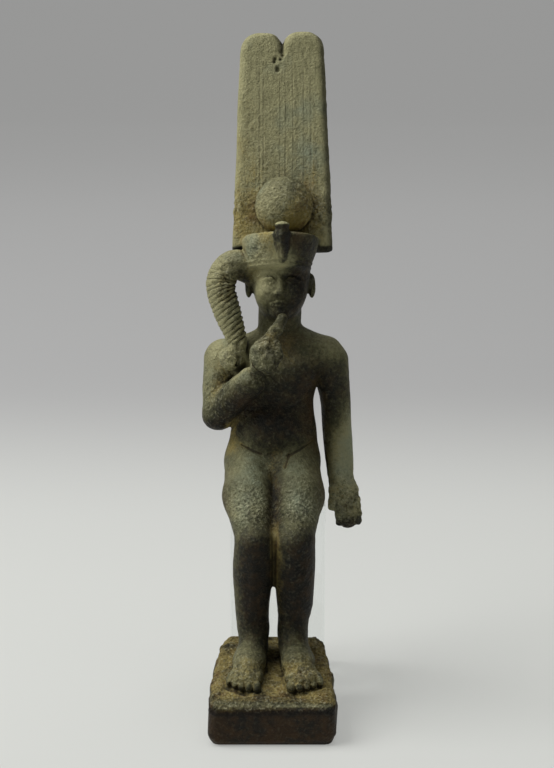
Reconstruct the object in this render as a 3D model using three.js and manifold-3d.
// A seated child god of cast bronze in a tall double-plume crown: one casting with the small
// sloping plinth under its feet, its seat carried by a clear block that stands behind the plinth.
// Millimetres, +Z up. The figure faces -Y, its own right hand is on the -X side, and the origin is
// the centre of the plinth's underside.

import * as THREE from 'three';
import { mergeVertices } from 'three/addons/utils/BufferGeometryUtils.js';
import Module from 'manifold-3d';

// Driving sizes of the plinth. Its top slopes up from the front to the back.
const PLINTH_FRONT_WIDTH = 28.8;
const PLINTH_BACK_WIDTH = 23.6;
const PLINTH_DEPTH = 30.4;
const PLINTH_FRONT_HEIGHT = 9.4;
const PLINTH_BACK_HEIGHT = 15.4;
const PLINTH_EDGE_RADIUS = 2.6;

// Driving sizes of the figure. Its height runs from the plinth's top, under the ankles, to the plume tips.
const FIGURE_HEIGHT = 142.4;
const PLUME_THICKNESS = 3.8;

// Driving sizes of the clear block, and of the gaps that keep it free of the casting.
const BLOCK_WIDTH = 22.6;
const BLOCK_DEPTH = 18;
const BLOCK_SETBACK = 4.3;
const BLOCK_OFFSET = 1.3;
const SEAT_GAP = 0.3;

// How finely the casting is cut into facets, and the empty room left round it meanwhile.
const CELL = 0.8;
const FACETS = 8800;
const ROOM = 2;

// The figure is drawn in millimetres above the middle of the plinth's top, and its points and
// radii are carried to FIGURE_HEIGHT together. The head and crown lean back on the neck.
const SEAT_LEVEL = 33.4;
const HEAD_CENTRE = [1.9, 28.8, 85.1];
const HEAD_LEAN = 12;
const CROWN_CENTRE = [1.95, 29.5, 95.5];
const CROWN_LEAN = 18;
const PLUME_FRONT = 1.3;
const PLUME_TIP = 49.5;
const DRAWN_HALF_WIDTH = 24;
const DRAWN_FRONT = -14;
const DRAWN_BACK = 56;
const crownLean = THREE.MathUtils.degToRad(CROWN_LEAN);
const plumeTop = PLUME_TIP * Math.cos(crownLean) - PLUME_FRONT * Math.sin(crownLean);
const scale = FIGURE_HEIGHT / (CROWN_CENTRE[2] + plumeTop);
const plinthSlope = (PLINTH_BACK_HEIGHT - PLINTH_FRONT_HEIGHT) / PLINTH_DEPTH;
const soleHeight = (PLINTH_BACK_HEIGHT + PLINTH_FRONT_HEIGHT) / 2;

// A field gives the distance from a point to a surface, negative inside. Two fields are joined with
// a soft web of metal between them, as wide as `soft`.
function blend(soft, a, b) {
  const web = Math.max(soft - Math.abs(a - b), 0) / soft;
  return Math.min(a, b) - (web * web * soft) / 4;
}

function joined(soft, ...fields) {
  return (x, y, z) => fields.reduce((d, field) => blend(soft, d, field(x, y, z)), Infinity);
}

function hollowed(soft, body, ...hollows) {
  return (x, y, z) => hollows.reduce((d, hollow) => -blend(soft, -d, hollow(x, y, z)), body(x, y, z));
}

// The same field moved to a centre and leaning back about the X axis by an angle in degrees.
function leaning([cx, cy, cz], degrees, field) {
  const cos = Math.cos(THREE.MathUtils.degToRad(degrees));
  const sin = Math.sin(THREE.MathUtils.degToRad(degrees));
  return (x, y, z) => field(x - cx, (y - cy) * cos - (z - cz) * sin, (y - cy) * sin + (z - cz) * cos);
}

// Far from its part a field needs no detail, only a distance that is not too long.
function near([cx, cy, cz], reach, field) {
  return (x, y, z) => {
    const clear = Math.hypot(x - cx, y - cy, z - cz) - reach;
    return clear > 3 ? clear : field(x, y, z);
  };
}

function ellipsoid([cx, cy, cz], [rx, ry, rz]) {
  return (x, y, z) => {
    const [px, py, pz] = [(x - cx) / rx, (y - cy) / ry, (z - cz) / rz];
    const share = Math.hypot(px, py, pz);
    return (share * (share - 1)) / Math.max(Math.hypot(px / rx, py / ry, pz / rz), 1e-6);
  };
}

// A rod with round ends, from one point and radius to another.
function limb([ax, ay, az], ar, [bx, by, bz], br) {
  const [ex, ey, ez] = [bx - ax, by - ay, bz - az];
  const length2 = ex * ex + ey * ey + ez * ez;
  return (x, y, z) => {
    const along = ((x - ax) * ex + (y - ay) * ey + (z - az) * ez) / length2;
    const t = Math.min(Math.max(along, 0), 1);
    return Math.hypot(x - ax - t * ex, y - ay - t * ey, z - az - t * ez) - ar - t * (br - ar);
  };
}

// Rods end to end through stations of [x, y, z, radius].
function limbs(soft, ...stations) {
  const rods = stations.slice(1).map((end, i) => {
    const start = stations[i];
    return limb(start.slice(0, 3), start[3], end.slice(0, 3), end[3]);
  });
  return joined(soft, ...rods);
}

// A smooth run of values between stations of [height, value, value, ...].
function between(stations) {
  const slope = (i, v) => {
    const [low, high] = [stations[Math.max(i - 1, 0)], stations[Math.min(i + 1, stations.length - 1)]];
    return (high[v] - low[v]) / (high[0] - low[0]);
  };
  return (height) => {
    const found = stations.findIndex((station) => station[0] > height);
    const i = found < 0 ? stations.length - 2 : Math.max(found - 1, 0);
    const [low, high] = [stations[i], stations[i + 1]];
    const span = high[0] - low[0];
    const t = Math.min(Math.max((height - low[0]) / span, 0), 1);
    const [t2, t3] = [t * t, t * t * t];
    return low.slice(1).map((value, v) => (2 * t3 - 3 * t2 + 1) * value
      + (t3 - 2 * t2 + t) * span * slope(i, v + 1)
      + (3 * t2 - 2 * t3) * high[v + 1]
      + (t3 - t2) * span * slope(i + 1, v + 1));
  };
}

// An upright body of oval sections, from stations of [height, centre x, centre y, half width, half depth].
function column(endSoft, stations) {
  const section = between(stations);
  const [bottom, top] = [stations[0][0], stations.at(-1)[0]];
  return (x, y, z) => {
    const [cx, cy, width, depth] = section(z);
    const [px, py] = [(x - cx) / width, (y - cy) / depth];
    const share = Math.hypot(px, py);
    const side = (share * (share - 1)) / Math.max(Math.hypot(px / width, py / depth), 1e-6);
    return -blend(endSoft, -side, -Math.max(z - top, bottom - z));
  };
}

// The trunk: a child's soft belly and flat chest, leaning back and a little to its left.
function trunk() {
  const body = column(3, [
    [36, 0.05, 27.2, 10.2, 6.6],
    [43, 0.0, 26.9, 10.65, 7.0],
    [50, 0.35, 27.2, 10.2, 6.5],
    [57, 0.35, 27.9, 9.5, 6.0],
    [63, 0.7, 28.6, 10.6, 6.1],
    [68.5, 1.0, 29.4, 11.4, 5.2],
    [72.8, 1.5, 30.0, 7.6, 4.0],
  ]);
  const buttocks = [-1, 1].map((side) => ellipsoid([0.1 + side * 5.0, 27.8, 39.4], [5.8, 6.4, 7.2]));
  const breasts = [-1, 1].map((side) => ellipsoid([0.9 + side * 5.0, 24.4, 64], [4.2, 2.2, 3.6]));
  const neck = limb([1.4, 30.2, 68.5], 5.0, [1.8, 29.4, 79], 5.0);
  const shoulders = [
    limb([-11.3, 29.5, 66.5], 4.5, [-4, 29.8, 67.8], 4.4),
    limb([12.3, 29.5, 67.5], 4.6, [6, 29.8, 69.2], 4.6),
  ];
  const groin = ellipsoid([0.5, 19.6, 41.4], [2.8, 2.6, 2.6]);
  return joined(2.2, body, neck, ...shoulders, ...buttocks, ...breasts, groin);
}

// One leg, from the hip down to the ankle, bent at the knee over the plinth. The legs are not quite
// alike, so each has the x and the radius of its thigh, knee, calf, shin and ankle.
function leg(hipX, thigh, knee, calf, shin, ankle) {
  return limbs(
    2,
    [hipX, 25.5, 42.6, 6.0],
    [thigh[0], 15.5, 36.8, thigh[1]],
    [knee[0], 3.9, 29.4, knee[1]],
    [calf[0], 5.2, 21, calf[1]],
    [shin[0], 5.4, 14.5, shin[1]],
    [ankle[0], 5.6, 8.5, ankle[1]],
  );
}

// One bare foot, flat on the sloping plinth: heel, broad instep, ball and five worn toes.
function foot(side, heelX, ballX) {
  const onPlinth = (x, y, height) => [x, y, y * plinthSlope + height];
  const middleX = (heelX + ballX) / 2;
  const toes = [0, 1, 2, 3, 4].map((i) => {
    const x = ballX + side * (-2.4 + 1.5 * i);
    const tip = onPlinth(x + side * 0.1 * i, -9.4 + 0.15 * i * i, 0.9);
    return limb(onPlinth(x, -7, 1.3), 1.3, tip, 1.15 - 0.07 * i);
  });
  const arch = joined(
    1.6,
    ellipsoid(onPlinth(heelX, 7.4, 2.2), [3.2, 4.0, 3.2]),
    limb([heelX, 5.6, 8.5], 3.3, onPlinth(heelX, 3.6, 3.6), 3.4),
    ellipsoid(onPlinth(middleX, 0.2, 2.0), [3.9, 5.6, 3.3]),
    ellipsoid(onPlinth(ballX, -4.8, 0.9), [4.2, 4.0, 2.2]),
  );
  return near([ballX, 0, 2], 16, joined(0.8, arch, ...toes));
}

// The right arm, bent so that the forefinger points to the mouth.
function raisedArm() {
  const arm = limbs(
    1.6,
    [-11.5, 29.5, 66.3, 4.6],
    [-12.5, 28.4, 60, 3.7],
    [-12.7, 26.4, 53.8, 3.5],
    [-9.6, 23.0, 58.3, 3.4],
    [-5.0, 19.6, 63.2, 3.3],
  );
  const fist = ellipsoid([-1.7, 17.3, 69.6], [3.6, 3.2, 4.5]);
  const thumb = limb([-0.2, 14.9, 68.2], 1.4, [1.0, 15.5, 72.4], 1.3);
  const forefinger = limbs(0.6, [-1.2, 16.6, 73.0, 1.8], [0.9, 17.0, 76.0, 1.5], [2.3, 18.6, 78.3, 1.35]);
  return joined(1.4, arm, fist, joined(0.7, thumb, forefinger));
}

// The left arm, hanging straight and clear of the trunk, its fist closed beside the thigh.
function hangingArm() {
  const arm = limbs(
    1.6,
    [13.5, 29.5, 65.8, 4.6],
    [14.9, 29.6, 58, 3.5],
    [15.35, 29.2, 50, 3.3],
    [15.95, 27.4, 43, 3.1],
    [16.3, 25.9, 38, 2.9],
  );
  const hand = ellipsoid([17.1, 25.0, 34.8], [3.7, 3.4, 4.2]);
  const knuckles = ellipsoid([18.0, 23.6, 30.4], [3.4, 3.3, 4.1]);
  const thumb = limb([14.5, 23.6, 36.2], 1.3, [14.1, 22.6, 32.4], 1.2);
  return joined(1.2, arm, hand, knuckles, thumb);
}

// The head, in its own frame: the face looks along -Y, the eyes are at zero, the chin 9.2 below.
function head() {
  const skull = joined(
    2,
    ellipsoid([0, 0.8, 1.2], [7.1, 7.6, 8.0]),
    ellipsoid([0, -2.0, -3.4], [5.6, 5.1, 5.9]),
  );
  const pairs = [-1, 1].flatMap((side) => [
    ellipsoid([side * 3.1, -4.3, -2.5], [2.6, 2.6, 2.8]),
    ellipsoid([side * 2.6, -6.1, 0.1], [1.5, 0.9, 0.75]),
  ]);
  const nose = limb([0, -6.4, 1.2], 0.75, [0, -7.9, -2.7], 1.1);
  const mouth = [-4.9, -5.9].map((z) => limb([-1.5, -6.4, z], 0.5, [1.5, -6.4, z], 0.5));
  const chin = ellipsoid([0, -5.6, -7.4], [1.9, 1.5, 1.6]);
  const ears = [-1, 1].map((side) => ellipsoid([side * 7.4, 0.8, -0.9], [0.95, 1.7, 2.8]));
  const face = joined(0.8, joined(1.6, skull, chin, ...pairs), nose, ...mouth, ...ears);
  return near(HEAD_CENTRE, 11, leaning(HEAD_CENTRE, HEAD_LEAN, face));
}

// The plaited sidelock: it springs from the right temple, bows out and falls to a curl on the shoulder.
const lockPath = between([
  [0, -4.6, 28.8, 87.9],
  [0.25, -9.2, 27.4, 89.3],
  [0.5, -12.0, 26.6, 85.0],
  [0.75, -10.4, 25.4, 78.4],
  [1, -8.0, 24.0, 71.6],
]);
const lockRadius = between([[0, 3.5], [0.25, 3.5], [0.5, 3.5], [0.75, 3.1], [1, 2.3]]);
const LOCK_STEPS = 16;
const LOCK_PLAITS = 13;
const PLAIT_DEPTH = 0.28;

function sidelock() {
  const rods = Array.from({ length: LOCK_STEPS }, (_, i) => {
    const [from, to] = [i / LOCK_STEPS, (i + 1) / LOCK_STEPS];
    const [start, end] = [from, to].map((place) => new THREE.Vector3(...lockPath(place)));
    return { start, end, from, to };
  });
  const plait = (x, y, z) => {
    const point = new THREE.Vector3(x, y, z);
    let closest = Infinity;
    for (const { start, end, from, to } of rods) {
      const axis = end.clone().sub(start);
      const t = THREE.MathUtils.clamp(point.clone().sub(start).dot(axis) / axis.lengthSq(), 0, 1);
      const place = THREE.MathUtils.lerp(from, to, t);
      const centre = start.clone().addScaledVector(axis, t);
      const turn = Math.PI * (LOCK_PLAITS * place + 0.16 * (x - centre.x));
      const ridge = PLAIT_DEPTH * (Math.abs(Math.sin(turn)) - 0.6);
      closest = Math.min(closest, point.distanceTo(centre) - lockRadius(place)[0] - ridge);
    }
    return closest;
  };
  const curl = ellipsoid([-9.2, 23.4, 68.0], [3.3, 2.8, 3.1]);
  const eye = ellipsoid([-9.5, 20.5, 68.2], [1.0, 1.0, 1.0]);
  const lock = hollowed(0.6, joined(1.0, plait, curl), eye);
  return near([-9, 26, 79], 17, lock);
}

// The crown, in its own frame: leaning back, with the cap's rim at zero height and the plumes behind.
const PLUME_FOOT = -2.3;
const PLUME_SHOULDER = 44.4;
const PLUME_HALF_WIDTHS = [11.9, 10.05];
const PLUME_OVERLAP = 0.2;
const PLUME_SQUARENESS = 2.5;
const PLUME_EDGE_WEAR = 2.2;

// Two plumes side by side, cast as one leaning slab that narrows a little to two blunt tips.
function plumes() {
  const thickness = PLUME_THICKNESS / scale;
  return (x, y, z) => {
    const rise = (z - PLUME_FOOT) / (PLUME_SHOULDER - PLUME_FOOT);
    const halfWidth = THREE.MathUtils.lerp(...PLUME_HALF_WIDTHS, rise);
    const overlap = PLUME_OVERLAP + THREE.MathUtils.clamp(PLUME_SHOULDER - z, 0, 3);
    const plume = (halfWidth + overlap) / 2;
    const across = Math.abs(Math.abs(x - 0.45) - (halfWidth - overlap) / 2);
    const above = Math.max(z - PLUME_SHOULDER, 0) * (plume / (PLUME_TIP - PLUME_SHOULDER));
    const round = (across ** PLUME_SQUARENESS + above ** PLUME_SQUARENESS) ** (1 / PLUME_SQUARENESS);
    const outline = Math.max(round - plume, PLUME_FOOT - z);
    const face = Math.abs(y - PLUME_FRONT - thickness / 2) - thickness / 2;
    return -blend(PLUME_EDGE_WEAR, -outline, -face);
  };
}

// The flared cap, the domed sun disk in front of the plumes and the rearing cobra on the brow.
function crown() {
  const flare = column(1, [
    [-8, -0.4, 0.6, 7.2, 7.2],
    [-6, -0.3, 0.4, 7.7, 7.8],
    [-3, -0.1, 0.1, 8.6, 8.9],
    [0, 0.05, 0, 9.1, 9.6],
    [3, 0.05, 0, 9.3, 9.8],
  ]);
  const cap = (x, y, z) => -blend(1.2, -flare(x, y, z), -z);
  const disk = ellipsoid([0.8, -0.9, 7.4], [6.8, 4.6, 6.8]);
  const cobra = limbs(
    0.8,
    [0.5, -7.2, -6.8, 1.1],
    [0.5, -8.6, -3.2, 1.5],
    [0.5, -9.3, -0.8, 1.9],
    [0.5, -9.9, 0.6, 1.5],
  );
  const whole = joined(0.8, cap, disk, plumes(), cobra);
  return near([3, 36, 117], 34, leaning(CROWN_CENTRE, CROWN_LEAN, whole));
}

function figure() {
  const web = limbs(1, [0.4, 15, 36.4, 2.6], [0.5, 5.4, 29.2, 2.2], [0.5, 6, 20.4, 1.1]);
  const legs = joined(
    0.9,
    web,
    leg(-5.2, [-5.4, 5.8], [-4.1, 4.1], [-4.45, 4.4], [-4.6, 3.85], [-4.4, 3.4]),
    leg(5.3, [6.1, 5.8], [5.25, 4.3], [5.2, 4.35], [5.2, 4.0], [4.7, 3.0]),
  );
  const body = joined(0.4, joined(1.8, trunk(), legs), hangingArm());
  return joined(
    0.8,
    joined(1, body, raisedArm()),
    joined(1, foot(-1, -4.4, -6.0), foot(1, 4.9, 6.9)),
    joined(1, head(), sidelock()),
    crown(),
  );
}

// The plinth, in real millimetres: its sides curve in toward the back, every edge is worn round,
// and it is drawn on a little below its underside, where the casting is cut flat.
const PLINTH_SIDE_CURVE = 2.2;
const PLINTH_DRAWN_BELOW = 0.5;

function plinth() {
  const halfDepth = PLINTH_DEPTH / 2 - PLINTH_EDGE_RADIUS;
  const floor = PLINTH_EDGE_RADIUS - PLINTH_DRAWN_BELOW;
  return (x, y, z) => {
    const back = THREE.MathUtils.clamp(y / PLINTH_DEPTH + 0.5, 0, 1) ** PLINTH_SIDE_CURVE;
    const width = THREE.MathUtils.lerp(PLINTH_FRONT_WIDTH, PLINTH_BACK_WIDTH, back);
    const top = soleHeight + plinthSlope * y - PLINTH_EDGE_RADIUS;
    const beyond = [
      Math.abs(x) - width / 2 + PLINTH_EDGE_RADIUS,
      Math.abs(y) - halfDepth,
      Math.max(z - top, floor - z),
    ];
    const outside = Math.hypot(...beyond.map((distance) => Math.max(distance, 0)));
    return outside + Math.min(Math.max(...beyond), 0) - PLINTH_EDGE_RADIUS;
  };
}

function casting() {
  const drawn = figure();
  const standing = (x, y, z) => scale * drawn(x / scale, y / scale, (z - soleHeight) / scale);
  return joined(0.7, standing, plinth());
}

function range(start, stop) {
  return Array.from({ length: Math.max(stop - start, 0) }, (_, i) => start + i);
}

// The field's zero surface as triangles. Space is cut into cubes, and each cube into six
// tetrahedra round its long diagonal, which leaves a closed surface whatever the shape is.
const forwardPaths = [[0, 1], [1, 2], [2, 0]];
const turnedPaths = [[0, 2], [2, 1], [1, 0]];
const BLOCK_CELLS = 5;

function surfaceOf(field, box, cell) {
  const counts = box.getSize(new THREE.Vector3()).divideScalar(cell).ceil().addScalar(1).toArray();
  const origin = box.min.toArray();
  const values = new Float32Array(counts[0] * counts[1] * counts[2]).fill(NaN);
  const corner = (...place) => {
    const n = place[0] + counts[0] * (place[1] + counts[1] * place[2]);
    if (Number.isNaN(values[n])) {
      values[n] = field(...place.map((count, axis) => origin[axis] + count * cell)) || 1e-6;
    }
    return { n, place, d: values[n] };
  };

  const points = [];
  const faces = [];
  const crossings = new Map();
  const crossing = (a, b) => {
    const [low, high] = a.n < b.n ? [a, b] : [b, a];
    const steps = high.place.map((count, axis) => count - low.place[axis]);
    const key = low.n * 8 + steps[0] + 2 * steps[1] + 4 * steps[2];
    if (!crossings.has(key)) {
      const t = THREE.MathUtils.clamp(low.d / (low.d - high.d), 0.04, 0.96);
      crossings.set(key, points.length / 3);
      points.push(...steps.map((step, axis) => origin[axis] + cell * (low.place[axis] + t * step)));
    }
    return crossings.get(key);
  };

  const tetrahedron = (corners, turned) => {
    const inside = corners.filter((c) => c.d < 0);
    const outside = corners.filter((c) => c.d >= 0);
    if (inside.length === 0 || outside.length === 0) return;
    const order = [...inside, ...outside].map((c) => corners.indexOf(c));
    const swaps = order.flatMap((a, i) => order.slice(i + 1).filter((b) => b < a)).length;
    const add = (a, b, c) => faces.push(...((swaps % 2 === 1) === turned ? [a, b, c] : [a, c, b]));
    if (inside.length === 2) {
      const [p, q, r, s] = [...inside, ...outside];
      add(crossing(p, r), crossing(p, s), crossing(q, s));
      add(crossing(p, r), crossing(q, s), crossing(q, r));
    } else if (inside.length === 1) {
      add(...outside.map((c) => crossing(inside[0], c)));
    } else {
      add(...inside.map((c) => crossing(c, outside[0])));
    }
  };

  const cube = (i, j, k) => {
    const at = (di, dj, dk) => corner(i + di, j + dj, k + dk);
    const [low, high] = [at(0, 0, 0), at(1, 1, 1)];
    const sides = [at(1, 0, 0), at(0, 1, 0), at(0, 0, 1)];
    const edges = [at(0, 1, 1), at(1, 0, 1), at(1, 1, 0)];
    const solid = [low, high, ...sides, ...edges].filter((c) => c.d < 0).length;
    if (solid === 0 || solid === 8) return;
    for (const path of [...forwardPaths, ...turnedPaths]) {
      const untouched = [0, 1, 2].find((axis) => !path.includes(axis));
      tetrahedron([low, sides[path[0]], edges[untouched], high], turnedPaths.includes(path));
    }
  };

  // Only the blocks of cubes that the surface can pass through are looked at one by one.
  const reach = BLOCK_CELLS * cell * 1.5 + 1;
  const startsOf = (count) => range(0, Math.ceil(count / BLOCK_CELLS)).map((i) => i * BLOCK_CELLS);
  const cubesFrom = (start, axis) => range(start, Math.min(start + BLOCK_CELLS, counts[axis] - 1));
  for (const startZ of startsOf(counts[2])) {
    for (const startY of startsOf(counts[1])) {
      for (const startX of startsOf(counts[0])) {
        const middle = [startX, startY, startZ].map((start) => start + BLOCK_CELLS / 2);
        const distance = field(...middle.map((count, axis) => origin[axis] + count * cell));
        if (Math.abs(distance) > reach) continue;
        for (const k of cubesFrom(startZ, 2)) {
          for (const j of cubesFrom(startY, 1)) {
            for (const i of cubesFrom(startX, 0)) cube(i, j, k);
          }
        }
      }
    }
  }
  return { points, faces };
}

// The least of a growing and shrinking set of entries, each with a cost.
class CheapestFirst {
  entries = [];

  push(entry) {
    const { entries } = this;
    let i = entries.push(entry) - 1;
    while (i > 0) {
      const parent = (i - 1) >> 1;
      if (entries[parent].cost <= entry.cost) break;
      entries[i] = entries[parent];
      i = parent;
    }
    entries[i] = entry;
  }

  pop() {
    const { entries } = this;
    const least = entries[0];
    const last = entries.pop();
    if (entries.length === 0) return least;
    let i = 0;
    for (let child = 1; child < entries.length; child = 2 * i + 1) {
      if (child + 1 < entries.length && entries[child + 1].cost < entries[child].cost) child += 1;
      if (last.cost <= entries[child].cost) break;
      entries[i] = entries[child];
      i = child;
    }
    entries[i] = last;
    return least;
  }
}

// Fewer facets on the same form: the edge whose loss moves the surface least is closed up to one
// point, again and again. Each vertex carries the sum of squared distances to its first facets' planes.
function withFacets({ points, faces }, facets) {
  const at = range(0, points.length / 3).map((v) => new THREE.Vector3().fromArray(points, 3 * v));
  const corners = range(0, faces.length / 3).map((f) => faces.slice(3 * f, 3 * f + 3));
  const around = at.map(() => new Set());
  const errors = at.map(() => new Float64Array(10));
  const ages = new Uint32Array(at.length);
  const normalOf = ([a, b, c]) => b.clone().sub(a).cross(c.clone().sub(a));
  corners.forEach((face, f) => {
    const normal = normalOf(face.map((v) => at[v]));
    const area = normal.length();
    const { x, y, z } = normal.divideScalar(area || 1);
    const w = -normal.dot(at[face[0]]);
    const terms = [x * x, x * y, x * z, x * w, y * y, y * z, y * w, z * z, z * w, w * w];
    for (const v of face) {
      around[v].add(f);
      terms.forEach((term, i) => { errors[v][i] += term * area; });
    }
  });

  const queue = new CheapestFirst();
  const consider = (a, b) => {
    const e = errors[a].map((value, i) => value + errors[b][i]);
    const middle = at[a].clone().lerp(at[b], 0.5);
    const pull = 1e-3 * (e[0] + e[4] + e[7]);
    const [xx, yy, zz] = [e[0] + pull, e[4] + pull, e[7] + pull];
    const matrix = new THREE.Matrix3(xx, e[1], e[2], e[1], yy, e[5], e[2], e[5], zz);
    const goal = middle.clone().multiplyScalar(pull).sub(new THREE.Vector3(e[3], e[6], e[8]));
    const { x, y, z } = goal.applyMatrix3(matrix.invert());
    const cost = e[0] * x * x + 2 * e[1] * x * y + 2 * e[2] * x * z + 2 * e[3] * x
      + e[4] * y * y + 2 * e[5] * y * z + 2 * e[6] * y + e[7] * z * z + 2 * e[8] * z + e[9];
    queue.push({ cost, a, b, place: goal, age: ages[a] + ages[b] });
  };
  const neighbours = (v) => new Set([...around[v]].flatMap((f) => corners[f]).filter((n) => n !== v));
  const holdsShape = (v, other, place) => [...around[v]].every((f) => {
    if (corners[f].includes(other)) return true;
    const before = normalOf(corners[f].map((c) => at[c]));
    const after = normalOf(corners[f].map((c) => (c === v ? place : at[c])));
    return after.dot(before) > 0.3 * after.length() * before.length();
  });

  at.forEach((_, v) => neighbours(v).forEach((n) => { if (v < n) consider(v, n); }));
  for (let left = corners.length; left > facets && queue.entries.length > 0;) {
    const { a, b, place, age } = queue.pop();
    if (!around[a] || !around[b] || ages[a] + ages[b] !== age) continue;
    const [nextToA, nextToB] = [neighbours(a), neighbours(b)];
    const shared = [...nextToA].filter((n) => nextToB.has(n)).length;
    if (!nextToA.has(b) || shared !== 2 || !holdsShape(a, b, place) || !holdsShape(b, a, place)) continue;
    for (const f of around[b]) {
      if (corners[f].includes(a)) {
        corners[f].forEach((v) => { if (v !== b) around[v].delete(f); });
        corners[f] = null;
        left -= 1;
      } else {
        corners[f] = corners[f].map((v) => (v === b ? a : v));
        around[a].add(f);
      }
    }
    errors[a] = errors[a].map((value, i) => value + errors[b][i]);
    at[a] = place;
    around[b] = null;
    ages[a] += 1;
    neighbours(a).forEach((n) => consider(a, n));
  }

  const kept = corners.filter((face) => face !== null);
  const used = [...new Set(kept.flat())];
  const number = new Map(used.map((v, i) => [v, i]));
  return { points: used.flatMap((v) => at[v].toArray()), faces: kept.flat().map((v) => number.get(v)) };
}

const wasm = await Module();
wasm.setup();

function solidFrom({ points, faces }) {
  const mesh = new wasm.Mesh({
    numProp: 3,
    vertProperties: Float32Array.from(points),
    triVerts: Uint32Array.from(faces),
  });
  return new wasm.Manifold(mesh);
}

function solidBox(box) {
  const size = box.getSize(new THREE.Vector3());
  const geometry = new THREE.BoxGeometry(...size).translate(...box.getCenter(new THREE.Vector3()));
  geometry.deleteAttribute('normal');
  geometry.deleteAttribute('uv');
  const merged = mergeVertices(geometry);
  return solidFrom({ points: merged.attributes.position.array, faces: merged.index.array });
}

function geometryOf(solid) {
  const { vertProperties, triVerts } = solid.getMesh();
  const geometry = new THREE.BufferGeometry();
  geometry.setAttribute('position', new THREE.BufferAttribute(vertProperties, 3));
  geometry.setIndex(new THREE.BufferAttribute(triVerts, 1));
  geometry.computeVertexNormals();
  return geometry;
}

// The block's room: it stands on the same surface as the plinth and ends under the seat.
const seatHeight = soleHeight + SEAT_LEVEL * scale;
const blockFront = PLINTH_DEPTH / 2 + BLOCK_SETBACK;
const blockBox = new THREE.Box3(
  new THREE.Vector3(BLOCK_OFFSET - BLOCK_WIDTH / 2, blockFront, 0),
  new THREE.Vector3(BLOCK_OFFSET + BLOCK_WIDTH / 2, blockFront + BLOCK_DEPTH, seatHeight - SEAT_GAP),
);

// The casting: cut flat under the plinth, and under the seat where it rests on the block.
function castFigure() {
  const halfWidth = Math.max(PLINTH_FRONT_WIDTH / 2, PLINTH_BACK_WIDTH / 2, DRAWN_HALF_WIDTH * scale);
  const front = Math.min(-PLINTH_DEPTH / 2, DRAWN_FRONT * scale);
  const back = Math.max(PLINTH_DEPTH / 2, DRAWN_BACK * scale);
  const room = new THREE.Box3(
    new THREE.Vector3(-halfWidth, front, 0),
    new THREE.Vector3(halfWidth, back, soleHeight + FIGURE_HEIGHT),
  ).expandByScalar(ROOM);
  const rough = solidFrom(withFacets(surfaceOf(casting(), room, CELL), FACETS));
  const below = room.clone().expandByScalar(ROOM);
  below.max.z = 0;
  const seat = blockBox.clone().expandByScalar(SEAT_GAP);
  const bronze = new THREE.MeshStandardMaterial({ color: 0x55543f, roughness: 0.6, metalness: 0.5 });
  const mesh = new THREE.Mesh(geometryOf(rough.subtract(solidBox(below)).subtract(solidBox(seat))), bronze);
  mesh.name = 'cast_figure';
  return mesh;
}

function clearBlock() {
  const clear = new THREE.MeshStandardMaterial({ color: 0xeef3f3, roughness: 0.05, metalness: 0 });
  clear.transparent = true;
  clear.opacity = 0.3;
  const mesh = new THREE.Mesh(geometryOf(solidBox(blockBox)), clear);
  mesh.name = 'clear_seat_block';
  return mesh;
}

const group = new THREE.Group();
group.add(castFigure(), clearBlock());
export default group;
